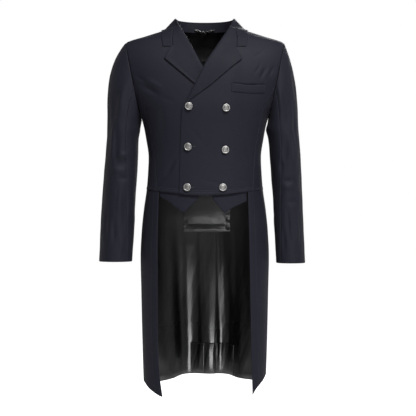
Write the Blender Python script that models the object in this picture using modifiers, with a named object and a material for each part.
"""A men's double-breasted dressage tailcoat, filled out as it is worn, with nobody in it.

Every cloth piece is a thin wall on one shared surface, the coat's worn shape, which is read from a short
table of horizontal rings. X runs across the coat (+X is the wearer's left), the front faces -Y and Z is up.
The origin lies between the shoulders at the root of the neck, where the wearer holds the coat.
"""

import math

import bmesh
import bpy
from mathutils import Vector, geometry

MM = 0.001

# Cloth and clearances.
CLOTH = 1.8 * MM
LINING = 1.0 * MM
SEAM = 0.3 * MM
EASE = 1.0 * MM  # between a panel and what lies loosely on it

# The worn coat's rings, from the collar's top to the hem, in millimetres.
# height, half width, depth in front, depth behind, squareness
RINGS = (
    (42, 82, 58, 63, 2.2),
    (30, 83, 59, 64.5, 2.2),
    (16, 84, 60, 66, 2.2),
    (2, 128, 64, 77, 2.25),
    (-12, 172, 70, 88, 2.3),
    (-28, 222, 80, 100, 2.3),
    (-40, 236, 87, 106, 2.3),
    (-55, 246, 96, 112, 2.3),
    (-82, 249, 108, 118, 2.3),
    (-120, 242, 118, 120, 2.3),
    (-160, 225, 122, 118, 2.3),
    (-200, 202, 123, 114, 2.3),
    (-245, 177, 120, 108, 2.3),
    (-300, 165, 113, 100, 2.3),
    (-353, 158, 108, 95, 2.3),
    (-400, 160, 107, 96, 2.3),
    (-443, 163.5, 108, 98, 2.3),
    (-500, 171.5, 108, 106, 2.3),
    (-560, 177.5, 106, 114, 2.3),
    (-630, 180.5, 103, 118, 2.3),
    (-730, 178, 99, 118, 2.3),
    (-850, 175, 96, 115, 2.3),
    (-1030, 170, 93, 110, 2.3),
)

# Heights of the main seams, in metres.
NECK = 16 * MM
SHOULDER = -28 * MM
ARMPIT = -245 * MM
PANEL_TOP = -155 * MM  # where the princess and side-back seams meet the armhole
WAIST = -443 * MM
WAIST_DIP = 18 * MM  # how much lower the waist edge is at the centre front

# Heights of the bodice's rows in millimetres, shared by panels that meet, so that their seams match.
LOW_ROWS = (-443, -398, -352, -310, -272, -238, -207, -180, -155)
FRONT_ARMHOLE_ROWS = (-137, -118, -102, -86, -68, -50, -38, -28)
BACK_ARMHOLE_ROWS = (-130, -105, -82, -60, -44, -34, -28)
SHOULDER_ROWS = (-17, -6, 4, 11, 15.7)
COLLAR_FRONT_ROWS = (36, 25, 15.7, 11, 4, -6, -17, -28, -38, -50)
BACK_LINING_ROW = -60  # the yoke's lining ends and the back's begins

# The armhole lies in a plane that leans in from the shoulder point to the armpit.
SHOULDER_X = 222 * MM
ARMPIT_X = 177 * MM

# Lines on the fronts: height and distance from the middle, in millimetres.
PRINCESS = ((-155, 195.7), (-190, 174), (-225, 160), (-291, 147), (-360, 138), (-461, 130))
SIDE_BACK = ((-155, 195.7), (-190, 172), (-245, 145), (-350, 117), (-461, 104))
OVERLAP_EDGE = ((40, 79), (36, 78), (25, 75.3), (16, 71.5), (-40, 38), (-110, -3.5), (-160, -29),
                (-196, -46), (-209, -53), (-222, -61), (-337, -67), (-461, -70))
UNDERLAP_EDGE = ((40, 78.3), (36, 77.3), (25, 74.3), (16, 70), (-40, 40), (-97, 11), (-160, -22),
                 (-196, -43), (-209, -50), (-222, -58), (-461, -62))
OVERLAP_LAPEL = ((36, 82.5), (14, 84.5), (-50, 84.5), (-87, 103), (-118, 65.5), (-156, 21),
                 (-180, -11), (-198, -36), (-207, -47))
UNDERLAP_LAPEL = ((36, 81.5), (14, 84.5), (-47, 92), (-85, 111), (-118, 72), (-156, 27),
                  (-180, -4), (-198, -29), (-207, -42))

# How far the overlapping front stands off the coat's surface, by height in millimetres.
OVERLAP_LIFT = ((40, 0), (-50, 0), (-100, 5.4), (-215, 5.4), (-270, 2.7), (-500, 2.7))
LIFT_FULL_X = 66 * MM
LIFT_NONE_X = 112 * MM

WAIST_GAP = 0.5 * MM

# The tails' grid: shares of the way down, and columns on each side of the side-back seam.
TAIL_ROWS = (0, 0.12, 0.28, 0.46, 0.64, 0.76, 0.83, 1)
SIDE_COLUMNS = 12
VENT_COLUMNS = 4  # where the tails overlap, both have these

# The tails: front edge, and the hem all round (angle from the front in degrees, height in millimetres).
TAIL_EDGE = {
    "right": ((-443, 127), (-600, 131), (-800, 131), (-950, 126), (-1018, 117)),
    "left": ((-443, 119), (-600, 124), (-800, 128), (-950, 131), (-1018, 132)),
}
TAIL_HEM = {
    "right": ((52, -1025), (60, -1020), (70, -1005), (82, -987), (94, -986), (112, -1004), (135, -996),
              (150, -987), (165, -985), (180, -985)),
    "left": ((62, -1026), (64, -1017), (67, -1002), (74, -984), (85, -966), (96, -968), (112, -998),
             (135, -994), (150, -987), (165, -985), (180, -985)),
}
TAIL_SEAM_ANGLE = 133  # the side-back seam's angle at the hem
VENT_INNER = 196.4  # the inner tail runs this far round, past the middle
VENT_OUTER = 184  # and the outer tail this far
VENT_LIFT = 4.3 * MM
VENT_LIFT_FROM = 148
VENT_LIFT_FULL = 160

# Soft flutes of the tails: angle in degrees (minus on the wearer's right), half width, depth at the hem.
TAIL_FLUTES = (
    (-75, 15, 3), (-107, 16, 4), (-131, 17, -7), (-158, 19, 7), (172, 19, -7), (151, 15, 7), (129, 15, -7),
    (106, 15, 4), (75, 14, 3),
)

# Creases of the fronts and back, as soft troughs: centre (x, height), direction (x, height), half length,
# half width, depth, all in millimetres. The first letter says which face they are on.
CREASES = (
    ("front", -150, -170, 0.86, -0.50, 42, 12, 4.5),
    ("front", -95, -386, -0.55, -0.83, 38, 11, 3),
    ("front", 160, -125, -0.45, -0.89, 26, 8, 2.5),
    ("front", 184, -118, -0.42, -0.90, 24, 8, 2.2),
    ("back", -40, -405, 0.95, -0.30, 60, 10, 2.5),
    ("back", 60, -380, 0.90, 0.42, 55, 10, 2.5),
)

# Sleeves: height, centre across, centre in depth, half width, half depth, in millimetres.
SLEEVE_RIGHT = (
    (-275, 231, 0, 45, 66), (-300, 233.5, 0, 43.5, 64), (-359, 237, 1, 45, 60), (-424, 242, 2, 46, 56),
    (-530, 247.5, -4, 46.5, 50), (-600, 250.5, -10, 45.5, 46), (-647, 252.7, -15, 44.8, 44),
)
SLEEVE_LEFT = (
    (-275, 220.5, 0, 44.5, 66), (-300, 225, 0, 42.3, 64), (-359, 229.7, 1, 41.8, 60),
    (-424, 233.5, 2, 41, 56), (-530, 238, -4, 40.2, 50), (-600, 241.3, -10, 39.6, 46),
    (-651, 243.4, -15, 39.4, 44),
)
SLEEVE_ROWS = (-275, -305, -335, -365, -395, -425, -465, -515, -575)
CUFF = {-1: -647, 1: -651}
CAP_ROWS = (0, 0.1, 0.23, 0.38, 0.54, 0.7, 0.86)
CAP_OUT = {-1: (0.64, -0.77), 1: (0.38, -0.925)}  # the way the cap leaves the shoulder, across and up
CAP_REACH = 1.2
FRONT_SEAM_ANGLES = (104, 138)  # the sleeve's front seam, at the armhole and at the cuff
BACK_SEAM_ANGLE = 226
# Sleeve creases: side, height, angle, half height, half angle, depth.
SLEEVE_CREASES = (
    (-1, -225, 58, 75, 20, 4), (-1, -330, 76, 60, 18, 4), (-1, -372, 96, 20, 34, 4),
    (-1, -500, 118, 80, 16, 3), (1, -230, 74, 70, 18, 3.5), (1, -350, 96, 70, 18, 3.5),
    (1, -452, 60, 24, 34, 2.5), (1, -392, 235, 24, 40, 3.5), (-1, -396, 235, 26, 40, 3.5),
)

# Collar: the fall's outer edge, as angle from the front and height in millimetres.
COLLAR_EDGE = ((53.4, -50), (59, -28), (68.3, -6), (75.2, 1), (90, 5), (105, 3), (125, -1), (150, -4),
               (180, -5))
# The gorge, where collar and lapel meet, as height in millimetres and angle.
COLLAR_GORGE = ((-50, 45), (-38, 47.5), (-28, 50), (-17, 53), (-6, 56.5), (4, 61), (11, 65.5), (15.7, 69),
                (25, 73.5), (36, 77))
NOTCH = -50
GORGE_GAP = 0.35 * MM
COLLAR_FALL_SHARES = (0, 0.2, 0.4, 0.6, 0.8, 1)
STAND_FOOT = 13
STAND_HEIGHT = 38
STAND_EDGE = ((66, 17), (69.5, 23), (74.5, 33), (79, 38))  # angle and height along the roll line

# Vest points: distance from the middle and height of the lower outline, in millimetres.
VEST_TOP = -434 * MM
VEST_RIGHT = ((-126, -464), (-104, -476), (-82, -493), (-59, -510), (-38, -490), (-17, -469))
VEST_LEFT = ((21, -469), (38, -490), (55, -510), (76, -496), (97, -486), (117, -477))
APRON_SPAN = (-59, 71)
APRON_BOTTOM = -561

# Chest welt.
WELT_SPAN = (73, 165)
WELT_BOTTOM = (-178, -180)
WELT_HEIGHT = 22

# Buttons: across and height, in millimetres.
BUTTON_PLACES = {
    "button_right_top": (-42.5, -217), "button_right_middle": (-45, -327), "button_right_waist": (-47, -439),
    "button_left_top": (57.5, -221), "button_left_middle": (55.5, -335), "button_left_waist": (49, -439),
}
# Button profile, radius and height from the cloth, top to bottom, in millimetres.
BUTTON_PROFILE = ((0, 5.2), (5, 5.0), (8, 4.6), (9.5, 4.8), (10.7, 3.7), (10.2, 2.7), (2.2, 2.0), (2.2, 0))
BUTTON_STEPS = 14

# Weight pockets at the tails' hem, on the lining: tail, and first and last column of its grid.
POCKET_ROW = 6
WEIGHT_POCKETS = {
    "weight_pocket_right": ("right", 17.0, 20.6), "weight_pocket_centre": ("right", 20.66, 23.7),
    "weight_pocket_left": ("left", 13.3, 17.8),
}

# Hanger loop at the back neck.
LOOP_SPAN = (-32, 30)
LOOP_WIDTH = 6

COLOURS = {
    "navy_cloth": ((0.018, 0.019, 0.028), 0.85, 0.0),
    "black_lining": ((0.008, 0.008, 0.009), 0.8, 0.0),
    "coated_lining": ((0.012, 0.012, 0.013), 0.35, 0.0),
    "satin": ((0.016, 0.016, 0.018), 0.4, 0.0),
    "button_metal": ((0.6, 0.6, 0.6), 0.3, 1.0),
}


def clear_scene():
    for old in list(bpy.data.objects):
        bpy.data.objects.remove(old)


def smooth(rows, at, column=1):
    """Reads a table between its rows with a curve that doesn't overshoot. Rows may run up or down."""
    rows = sorted(rows)
    if at <= rows[0][0]:
        return rows[0][column]
    if at >= rows[-1][0]:
        return rows[-1][column]
    steps = [(b[0] - a[0], (b[column] - a[column]) / (b[0] - a[0])) for a, b in zip(rows, rows[1:])]
    slopes = [steps[0][1]]
    for (h0, d0), (h1, d1) in zip(steps, steps[1:]):
        w0, w1 = 2 * h1 + h0, h1 + 2 * h0
        slopes.append(0 if d0 * d1 <= 0 else (w0 + w1) / (w0 / d0 + w1 / d1))
    slopes.append(steps[-1][1])
    i = max(k for k in range(len(steps)) if rows[k][0] <= at)
    h = steps[i][0]
    t = (at - rows[i][0]) / h
    start, end = rows[i][column], rows[i + 1][column]
    return (
        start * (1 + 2 * t) * (1 - t) ** 2 + slopes[i] * h * t * (1 - t) ** 2
        + end * t * t * (3 - 2 * t) + slopes[i + 1] * h * t * t * (t - 1)
    )


def straight(rows, at, column=1):
    """Reads a table between its rows along straight lines, for an outline with corners."""
    rows = sorted(rows)
    at = min(max(at, rows[0][0]), rows[-1][0])
    for a, b in zip(rows, rows[1:]):
        if at <= b[0]:
            return a[column] + (b[column] - a[column]) * (at - a[0]) / (b[0] - a[0])
    return rows[-1][column]


def mix(a, b, t):
    return a + (b - a) * t


def ease(t):
    t = min(max(t, 0), 1)
    return t * t * (3 - 2 * t)


def spread(count):
    """Shares from 0 to 1, count steps apart."""
    return [i / count for i in range(count + 1)]


def bump(share):
    """A smooth hump: 1 in its middle, 0 where share reaches 1 either way."""
    return math.cos(min(abs(share), 1) * math.pi / 2) ** 2


def turned(angle):
    """An angle in degrees brought to between -180 and 180."""
    return (angle + 180) % 360 - 180


RING_CACHE = {}


def ring(z):
    key = round(z, 7)
    if key not in RING_CACHE:
        RING_CACHE[key] = [smooth(RINGS, z / MM, c) * (MM if c < 4 else 1) for c in (1, 2, 3, 4)]
    return RING_CACHE[key]


def flute(angle, z):
    """How far a tail's flutes push the cloth out, growing from the hips to the hem."""
    grown = ease((WAIST - 0.03 - z) / 0.42)
    if grown == 0:
        return 0
    return grown * sum(depth * MM * bump(turned(angle - at) / wide) for at, wide, depth in TAIL_FLUTES)


def crease(x, y, z):
    """How far the main creases pull the cloth in at a point of the bodice."""
    pull = 0
    for face, cx, cz, dx, dz, half_long, half_wide, depth in CREASES:
        if (face == "front") != (y < 0) or z < WAIST - 0.05:
            continue
        across, up = x / MM - cx, z / MM - cz
        along, aside = across * dx + up * dz, across * dz - up * dx
        pull += depth * MM * bump(along / half_long) * bump(aside / half_wide)
    return pull


def bare_point(angle, z):
    """A point of the worn coat's surface, with flutes: angle in degrees from the front towards +X."""
    a, front, back, square = ring(z)
    s, c = math.sin(math.radians(angle)), math.cos(math.radians(angle))
    depth = front if c > 0 else back
    radius = (abs(s / a) ** square + abs(c / depth) ** square) ** (-1 / square) + flute(angle, z)
    return Vector((radius * s, -radius * c, z))


def normal_at(angle, z):
    step, rise = 0.4, 0.8 * MM
    across = bare_point(angle + step, z) - bare_point(angle - step, z)
    up = bare_point(angle, z + rise) - bare_point(angle, z - rise)
    return across.cross(up).normalized()


def coat_point(angle, z, out=0.0):
    """A point that far outside the worn coat's surface, along its normal."""
    p = bare_point(angle, z)
    return p + normal_at(angle, z) * (out - crease(*p))


def angle_of(x, z, behind=False):
    """The angle at which the surface has this x, on its front or its back half."""
    a, front, back, square = ring(z)
    share = min(abs(x) / a, 1)
    y = (back if behind else -front) * (1 - share**square) ** (1 / square)
    return math.degrees(math.atan2(x, -y))


def armhole_x(z):
    return mix(ARMPIT_X, SHOULDER_X, (z - ARMPIT) / (SHOULDER - ARMPIT))


def waist_dip(angle):
    """How much the bodice's lower edge drops towards the centre front."""
    return -WAIST_DIP * max(0, math.cos(math.radians(angle))) ** 1.5


def bodice_height(z, angle):
    """The rows near the waist follow its dip, and those above are level."""
    return z + waist_dip(angle) * min(max((-0.33 - z) / (-0.33 - WAIST), 0), 1)


def shell(name, grid, thickness, colour, away_from, test=None):
    """An open sheet through a grid of points, made a wall by Solidify. It faces away from a point, which is
    tested at the middle of the grid or where test says."""
    rows, columns = len(grid), len(grid[0])
    mesh = bpy.data.meshes.new(name)
    build = bmesh.new()
    points = [[build.verts.new(p) for p in line] for line in grid]
    i, j = test or (rows // 2, columns // 2)
    i0, j0 = max(i - 1, 0), max(j - 1, 0)
    facing = (grid[i0][j] - grid[i0][j0]).cross(grid[i][j0] - grid[i0][j0])
    outward = facing.dot(grid[i0][j0] - Vector(away_from)) > 0
    for r in range(rows - 1):
        for c in range(columns - 1):
            corners = (points[r][c], points[r][c + 1], points[r + 1][c + 1], points[r + 1][c])
            build.faces.new(corners if outward else corners[::-1])
    build.to_mesh(mesh)
    build.free()
    mesh.shade_smooth()
    obj = bpy.data.objects.new(name, mesh)
    COAT.objects.link(obj)
    wall = obj.modifiers.new("wall", "SOLIDIFY")
    wall.thickness = thickness
    wall.offset = 1
    wall.use_even_offset = False
    mesh.materials.append(material(colour))
    return obj


def material(name):
    if name in bpy.data.materials:
        return bpy.data.materials[name]
    colour, roughness, metallic = COLOURS[name]
    made = bpy.data.materials.new(name)
    made.use_nodes = True
    shader = made.node_tree.nodes["Principled BSDF"]
    shader.inputs["Base Color"].default_value = (*colour, 1)
    shader.inputs["Roughness"].default_value = roughness
    shader.inputs["Metallic"].default_value = metallic
    return made


def outer_angle(z, seam_table, behind, trim):
    """Where a front or back ends at its outer side: at its long seam, the armhole or the shoulder seam."""
    if z < PANEL_TOP - 1e-6:
        x = smooth(seam_table, z / MM) * MM - trim
    elif z < SHOULDER - 1e-6:
        x = armhole_x(z) - trim
    else:
        away = math.degrees(trim / ring(z)[0]) * 1.6
        return 90 + away if behind else 90 - away
    return angle_of(x, z, behind)


def points(nodes, out=0.0):
    """A grid of nodes (angle, height, lift) as points that far outside the surface."""
    return [[coat_point(angle, z, lift + out) for angle, z, lift in line] for line in nodes]


def pick(grid, rows, columns):
    """Part of a grid, whose ends may fall between its lines: it stays on the grid's own faces."""
    def stops(first, last):
        inner = [k for k in range(math.ceil(first + 0.2), math.floor(last - 0.2) + 1)]
        return [first] + inner + [last]

    def along(line, c):
        i = min(int(c), len(line) - 2)
        return line[i].lerp(line[i + 1], c - i)

    picked = []
    for r in stops(*rows):
        i = min(int(r), len(grid) - 2)
        low, high = grid[i], grid[i + 1]
        picked.append([along(low, c).lerp(along(high, c), r - i) for c in stops(*columns)])
    return picked


def no_lift(x, z):
    return 0


def overlap_lift(x, z):
    return smooth(OVERLAP_LIFT, z / MM) * MM * (1 - ease((x - LIFT_FULL_X) / (LIFT_NONE_X - LIFT_FULL_X)))


def front_panel(name, side, edge_table, lift):
    """A front, from its front edge or roll line to the princess seam, armhole and shoulder."""
    nodes = []
    for height in LOW_ROWS + FRONT_ARMHOLE_ROWS + SHOULDER_ROWS:
        z = height * MM
        inner = angle_of(smooth(edge_table, height) * MM, z)
        outer = outer_angle(z, PRINCESS, False, SEAM / 2)
        line = []
        for s in spread(11):
            angle = side * mix(inner, outer, s)
            low = bodice_height(z, angle)
            line.append((angle, low, lift(bare_point(angle, low).x, low)))
        nodes.append(line)
    shell(name, points(nodes), CLOTH, "navy_cloth", (0, 0, -0.3))
    return points(nodes, CLOTH)


def on_faces(grid, x, z):
    """The point of a grid's faces seen at this x and z from the front."""
    for low, high in zip(grid, grid[1:]):
        for a, b, c, d in zip(low, low[1:], high[1:], high):
            for face in ((a, b, c), (a, c, d)):
                hit = geometry.intersect_ray_tri(*face, Vector((0, 1, 0)), Vector((x, -1, z)))
                if hit:
                    return hit
    raise ValueError(f"nothing at {x}, {z}")


def side_panel(name, side):
    """The panel under the arm: its top is the lower part of the armhole."""
    nodes = []
    for height in LOW_ROWS:
        t = (height * MM - WAIST) / (PANEL_TOP - WAIST)
        line = []
        for w in [mix(-1, 1, s) for s in spread(7)]:
            top = mix(ARMPIT, PANEL_TOP, w * w)
            top_angle = angle_of(armhole_x(top), top, w > 0)
            first, last = [angle_of(smooth(seam, top / MM) * MM, top, back)
                           for seam, back in ((PRINCESS, False), (SIDE_BACK, True))]
            top_share = (top_angle - first) / (last - first) if abs(w) < 0.999 else (w + 1) / 2
            z = mix(WAIST, top, t)
            low, high = [angle_of(smooth(seam, z / MM) * MM + SEAM / 2, z, back)
                         for seam, back in ((PRINCESS, False), (SIDE_BACK, True))]
            share = mix((w + 1) / 2, min(max(top_share, 0), 1), t)
            angle = side * mix(low, high, share)
            line.append((angle, bodice_height(z, angle), 0))
        nodes.append(line)
    return shell(name, points(nodes), CLOTH, "navy_cloth", (0, 0, -0.3))


def back(word, side):
    """A back, from the centre seam to the side-back seam, armhole and shoulder, and the lining inside it."""
    nodes = []
    heights = LOW_ROWS + BACK_ARMHOLE_ROWS + SHOULDER_ROWS
    for height in heights:
        z = height * MM
        outer = outer_angle(z, SIDE_BACK, True, SEAM / 2)
        centre = 180 - math.degrees(SEAM / 2 / ring(z)[2])
        nodes.append([(side * mix(outer, centre, s), z, 0) for s in spread(9)])
    shell(f"back_{word}", points(nodes), CLOTH, "navy_cloth", (0, 0, -0.3))
    inside = points(nodes, -LINING - EASE)
    split = heights.index(BACK_LINING_ROW)
    ends = (0.3, 9)
    lower = pick(inside, (0.08, split - 0.01), ends)
    shell(f"back_lining_{word}", lower, LINING, "coated_lining", (0, 0, -0.3))
    yoke = pick(inside, (split + 0.01, len(heights) - 2), ends)
    shell(f"yoke_lining_{word}", yoke, LINING, "black_lining", (0, 0, -0.3))


def lapel(name, side, edge_table, outline, lift):
    """A lapel: it wraps the front's edge at the roll line and lies on the front to its notched outline."""
    nodes = []
    for height in [h for h in LOW_ROWS + FRONT_ARMHOLE_ROWS + SHOULDER_ROWS if h > -208] + [25, 36]:
        z = height * MM
        resting = CLOTH + 1.2 * EASE
        gap = GORGE_GAP * (4.5 if z > NECK - MM else 1)
        edge = angle_of(smooth(edge_table, height) * MM, z)
        degree = math.radians(1) * Vector(bare_point(edge, z).xy).length
        last = angle_of(straight(outline, height) * MM, z)
        if height > NOTCH - 0.1:
            last = straight(COLLAR_GORGE, height) - gap / degree
        line = [(edge - 1.8 * MM / degree, 0), (edge - 1.6 * MM / degree, CLOTH + SEAM)]
        line += [(mix(edge + 2.2 * MM / degree, last, s), resting) for s in spread(6)]
        nodes.append([(side * a, z, lift(side * bare_point(a, z).x, z) + out) for a, out in line])
    return shell(name, points(nodes), CLOTH, "navy_cloth", (0, 0, -0.1))


def collar_stand():
    """The collar's inner band, standing up from the neck seam. Its front ends follow the roll lines."""
    grid = []
    columns = [mix(66, 180, s) for s in spread(11)]
    columns = [-angle for angle in columns] + columns[-2::-1]
    for t in spread(2):
        line = []
        for angle in columns:
            z = mix(STAND_FOOT, smooth(STAND_EDGE, abs(angle)), t) * MM
            neck = bare_point(angle, max(z, NECK))
            neck -= Vector((neck.x, neck.y, 0)).normalized() * (SEAM + CLOTH)
            line.append(Vector((neck.x, neck.y, z)))
        grid.append(line)
    return shell("collar_stand", grid, CLOTH, "navy_cloth", (0, 0, 0.03))


def laid_or_bridged(start, end, angles, heights, t):
    """A point of the fall: on the coat where that bulges out, else on the straight way from roll to edge."""
    lying = coat_point(mix(*angles, t), mix(*heights, t), CLOTH + EASE)
    facing = normal_at(mix(*angles, t), mix(*heights, t))
    return lying + facing * max(0, (mix(start, end, t) - lying).dot(facing))


def collar_column(angles, heights, folded):
    """One line across the collar, from the stand's seam or the gorge to the outer edge."""
    line = []
    end = coat_point(angles[1], heights[1], CLOTH + EASE)
    if folded:
        foot = coat_point(angles[0], (STAND_HEIGHT + 0.3) * MM, -SEAM)
        away = Vector((foot.x, foot.y, 0)).normalized()
        line.append(foot)
        across = SEAM + CLOTH + EASE
        for turn in (0, 60, 120):
            lean = math.radians(turn)
            out, up = across / 2 * (1 - math.cos(lean)), across / 2 * math.sin(lean)
            line.append(foot + away * out + Vector((0, 0, 2 * MM + up)))
        start = foot + away * across + Vector((0, 0, 2 * MM))
        heights = (start.z, heights[1])
    else:
        start = coat_point(angles[0], heights[0], CLOTH + EASE)
        for t in (0, 0.04, 0.08, 0.12):
            line.append(laid_or_bridged(start, end, angles, heights, t))
    for t in COLLAR_FALL_SHARES[0 if folded else 1:]:
        line.append(laid_or_bridged(start, end, angles, heights, t))
    if not folded:
        line.insert(4, laid_or_bridged(start, end, angles, heights, 0.16))
    return line


def collar():
    """The collar's fall, folded over the stand behind and sewn to the lapels along the gorge in front."""
    half = []
    for s in spread(8):
        around = mix(180, 88, s)
        angles = (around, mix(180, 96, s))
        half.append(collar_column(angles, (0, straight(COLLAR_EDGE, angles[1]) * MM), True))
    for i, height in enumerate(COLLAR_FRONT_ROWS):
        gorge = straight(COLLAR_GORGE, height)
        gorge += GORGE_GAP / math.radians(1) / Vector(bare_point(gorge, height * MM).xy).length
        edge = mix(92, COLLAR_EDGE[0][0], i / (len(COLLAR_FRONT_ROWS) - 1))
        half.append(collar_column((gorge, edge), (height * MM, straight(COLLAR_EDGE, edge) * MM), False))
    whole = [[Vector((-p.x, p.y, p.z)) for p in line] for line in half[:0:-1]] + half
    grid = [list(line) for line in zip(*whole)]
    return shell("collar", grid, CLOTH, "navy_cloth", (0, 0, 0.02), test=(len(grid) - 2, len(whole) // 2))


def tail_nodes(word, side, vent_start, vent_end, back_columns, outer_tail):
    """A tail from its front edge to the vent, down from the waist seam to the hem. Its side-back seam is a
    line of nodes."""
    nodes = []
    for t in TAIL_ROWS:
        z = mix(WAIST, -1018 * MM, t)
        edge = angle_of(smooth(TAIL_EDGE[word], z / MM) * MM, z)
        seam = mix(angle_of(SIDE_BACK[-1][1] * MM, WAIST, True), TAIL_SEAM_ANGLE, ease(t / 0.5))
        line = []
        angles = [mix(edge, seam, s) for s in spread(SIDE_COLUMNS)]
        angles += [mix(seam, vent_start, s) for s in spread(back_columns)][1:]
        angles += [mix(vent_start, vent_end, s) for s in spread(VENT_COLUMNS)][1:]
        for angle in angles:
            facing = abs(turned(angle))
            top = WAIST + waist_dip(angle) - WAIST_GAP
            lift = 0
            if outer_tail:
                lift = VENT_LIFT * ease((angle - VENT_LIFT_FROM) / (VENT_LIFT_FULL - VENT_LIFT_FROM))
            line.append((side * angle, mix(top, smooth(TAIL_HEM[word], facing) * MM, t), lift))
        nodes.append(line)
    return nodes


def tail(word, side, vent_start, vent_end, back_columns, outer_tail):
    nodes = tail_nodes(word, side, vent_start, vent_end, back_columns, outer_tail)
    rows, columns = len(nodes) - 1, len(nodes[0]) - 1
    cloth = points(nodes)
    centre = (0, 0, -0.7)
    trim = 0.014
    side_part = pick(cloth, (0, rows), (0, SIDE_COLUMNS - trim))
    back_part = pick(cloth, (0, rows), (SIDE_COLUMNS + trim, columns))
    shell(f"tail_side_{word}", side_part, CLOTH, "navy_cloth", centre)
    shell(f"tail_back_{word}", back_part, CLOTH, "navy_cloth", centre)
    lining = points(nodes, -LINING - EASE / 2)
    shell(f"tail_lining_{word}", pick(lining, (0.05, rows - 0.02), (0.08, columns - 0.05)), LINING,
          "coated_lining", centre)
    inside = points(nodes, -2 * LINING - EASE)
    for name, (which, first, last) in WEIGHT_POCKETS.items():
        if which == word:
            patch = pick(inside, (POCKET_ROW, rows - 0.05), (first, last))
            shell(name, patch, LINING, "coated_lining", centre)


def sleeve_centre_ring(side, z, angle):
    """A point of the hanging sleeve: angle 0 is its outer side, 90 its front, 180 next to the body."""
    table = SLEEVE_LEFT if side > 0 else SLEEVE_RIGHT
    across, depth, half, deep = [smooth(table, z / MM, c) * MM for c in (1, 2, 3, 4)]
    turn = math.radians(angle)
    return Vector((side * (across + half * math.cos(turn)), depth - deep * math.sin(turn), z))


def armhole_point(side, angle):
    """A point of the armhole: angle 0 is the shoulder point, 90 the front, 180 the armpit."""
    turn = math.radians(angle)
    z = mix(ARMPIT, SHOULDER, (1 + math.cos(turn)) / 2)
    behind = math.sin(turn) < 0
    on_coat = angle_of(armhole_x(z), z, behind)
    return bare_point(side * on_coat, z), normal_at(side * on_coat, z)


def sleeve_point(side, t, angle):
    """Down a sleeve: t from 0 to 1 is the cap, and below 0 it is a height in metres."""
    if t < 0:
        return sleeve_centre_ring(side, t, angle)
    lean = Vector((SHOULDER - ARMPIT, 0, -(SHOULDER_X - ARMPIT_X))).normalized()
    lean.x *= side
    start, facing = armhole_point(side, angle)
    start = start + lean * (SEAM + (2 * CLOTH + SEAM) * max(0, facing.dot(lean)))
    end = sleeve_centre_ring(side, SLEEVE_ROWS[0] * MM, angle)
    reach = (end - start).length
    low = (1 - math.cos(math.radians(angle))) / 2
    out, up = CAP_OUT[side]
    leaving = Vector((side * mix(out, 0.15, low), 0, mix(up, -0.99, low))).normalized()
    leaving *= reach * mix(CAP_REACH, 1, low)
    arriving = Vector((side * 0.04, 0, -1)) * reach
    return (
        start * (1 + 2 * t) * (1 - t) ** 2 + leaving * t * (1 - t) ** 2
        + end * t * t * (3 - 2 * t) + arriving * t * t * (t - 1)
    )


def sleeve_crease(side, z, angle):
    pull = 0
    for which, at, around, half_high, half_angle, depth in SLEEVE_CREASES:
        if which == side:
            pull += depth * MM * bump((z / MM - at) / half_high) * bump(turned(angle - around) / half_angle)
    return pull


def sleeve_piece(name, side, first, last, columns):
    """The top or under sleeve, between two seams that are functions of the height."""
    grid = []
    for t in list(CAP_ROWS) + [h * MM for h in SLEEVE_ROWS] + [CUFF[side] * MM]:
        line = []
        for s in spread(columns):
            share = max(0, min(1, (-t / MM - 275) / 372)) if t < 0 else 0
            angle = mix(first(share), last(share), s)
            p = sleeve_point(side, t, angle)
            axis = sleeve_point(side, t, angle + 180)
            inward = (axis - p).normalized()
            line.append(p + inward * sleeve_crease(side, p.z, angle))
        grid.append(line)
    table = SLEEVE_LEFT if side > 0 else SLEEVE_RIGHT
    return shell(name, grid, CLOTH, "navy_cloth", (side * smooth(table, -330) * MM, 0, -0.33))


def sleeves():
    trim = math.degrees(SEAM / 2 / 0.045)
    for word, side in (("right", -1), ("left", 1)):
        sleeve_piece(f"sleeve_top_{word}", side, lambda s: BACK_SEAM_ANGLE - 360 + trim,
                     lambda s: mix(*FRONT_SEAM_ANGLES, s) - trim, 14)
        sleeve_piece(f"sleeve_under_{word}", side, lambda s: mix(*FRONT_SEAM_ANGLES, s) + trim,
                     lambda s: BACK_SEAM_ANGLE - trim, 7)


def vest_point(name, outline):
    grid = []
    for t in spread(5):
        line = []
        for x, low in outline:
            z = mix(low * MM, VEST_TOP, t)
            line.append(coat_point(angle_of(x * MM, z), z, -CLOTH - EASE))
        grid.append(line)
    return shell(name, grid, CLOTH, "navy_cloth", (0, 0, -0.45))


def apron():
    """The satin flap that hangs inside the front waist, behind the vest points."""
    grid = []
    for t in spread(9):
        line = []
        for s in spread(12):
            x = mix(*APRON_SPAN, s)
            z = mix(APRON_BOTTOM, VEST_TOP / MM, t)
            free = ease((-505 - z) / 50)
            ripple = free * (2.2 + 2.2 * math.sin(x / 9.0) * math.cos(x / 31.0)) * MM
            out = -CLOTH - EASE - LINING - 2 * SEAM - ripple
            line.append(coat_point(angle_of(x * MM, z * MM), z * MM, out))
        grid.append(line)
    return shell("inner_apron", grid, LINING, "satin", (0, 0, -0.5))


def chest_welt():
    grid = []
    for t in spread(2):
        line = []
        for s in spread(8):
            x = mix(*WELT_SPAN, s)
            z = mix(mix(*WELT_BOTTOM, bump(2 * s - 1)), mix(*WELT_BOTTOM, bump(2 * s - 1)) + WELT_HEIGHT, t)
            angle = angle_of(x * MM, z * MM)
            line.append(coat_point(angle, z * MM, overlap_lift(x * MM, z * MM) + CLOTH + EASE))
        grid.append(line)
    return shell("chest_welt", grid, 1.4 * MM, "navy_cloth", (0, 0, -0.16))


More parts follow.
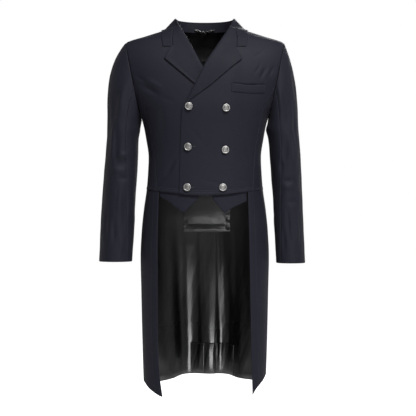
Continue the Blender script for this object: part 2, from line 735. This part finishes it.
def hanger_loop():
    grid = []
    for t in spread(1):
        line = []
        for s in spread(10):
            neck = bare_point(angle_of(mix(*LOOP_SPAN, s) * MM, NECK, True), NECK)
            drop = bump(2 * s - 1)
            neck -= Vector((neck.x, neck.y, 0)).normalized() * (3 * SEAM + 2 * CLOTH + 4 * MM * drop)
            line.append(Vector((neck.x, neck.y, (17 - 6 * drop + LOOP_WIDTH * t) * MM)))
        grid.append(line)
    return shell("hanger_loop", grid, 1.0 * MM, "satin", (0, 0, 0))


def buttons(front):
    profile = bpy.data.meshes.new("button_profile")
    build = bmesh.new()
    points = [build.verts.new((r * MM, 0, h * MM)) for r, h in BUTTON_PROFILE]
    points.append(build.verts.new((0, 0, 0)))
    for a, b in zip(points, points[1:]):
        build.edges.new((a, b))
    build.to_mesh(profile)
    build.free()
    profile.materials.append(material("button_metal"))
    for name, (x, height) in BUTTON_PLACES.items():
        x, z = x * MM, height * MM
        angle = angle_of(x, z)
        facing = normal_at(angle, z)
        obj = bpy.data.objects.new(name, profile)
        obj.location = on_faces(front, x, z) + facing * SEAM
        obj.rotation_mode = "QUATERNION"
        obj.rotation_quaternion = facing.to_track_quat("Z", "Y")
        turning = obj.modifiers.new("turned", "SCREW")
        turning.steps = turning.render_steps = BUTTON_STEPS
        turning.use_merge_vertices = True
        turning.merge_threshold = 0.00005
        COAT.objects.link(obj)


clear_scene()
COAT = bpy.data.collections.new("dressage_tailcoat")
bpy.context.scene.collection.children.link(COAT)

front_panel("front_right", -1, UNDERLAP_EDGE, no_lift)
overlap = front_panel("front_left", 1, OVERLAP_EDGE, overlap_lift)
for word, side in (("right", -1), ("left", 1)):
    side_panel(f"side_{word}", side)
    back(word, side)
lapel("lapel_right", -1, UNDERLAP_EDGE, UNDERLAP_LAPEL, no_lift)
lapel("lapel_left", 1, OVERLAP_EDGE, OVERLAP_LAPEL, overlap_lift)
collar_stand()
collar()
tail("right", -1, 360 - VENT_OUTER, VENT_INNER, 8, False)
tail("left", 1, 360 - VENT_INNER, VENT_OUTER, 6, True)
sleeves()
vest_point("vest_point_right", VEST_RIGHT)
vest_point("vest_point_left", VEST_LEFT)
apron()
chest_welt()
hanger_loop()
buttons(overlap)
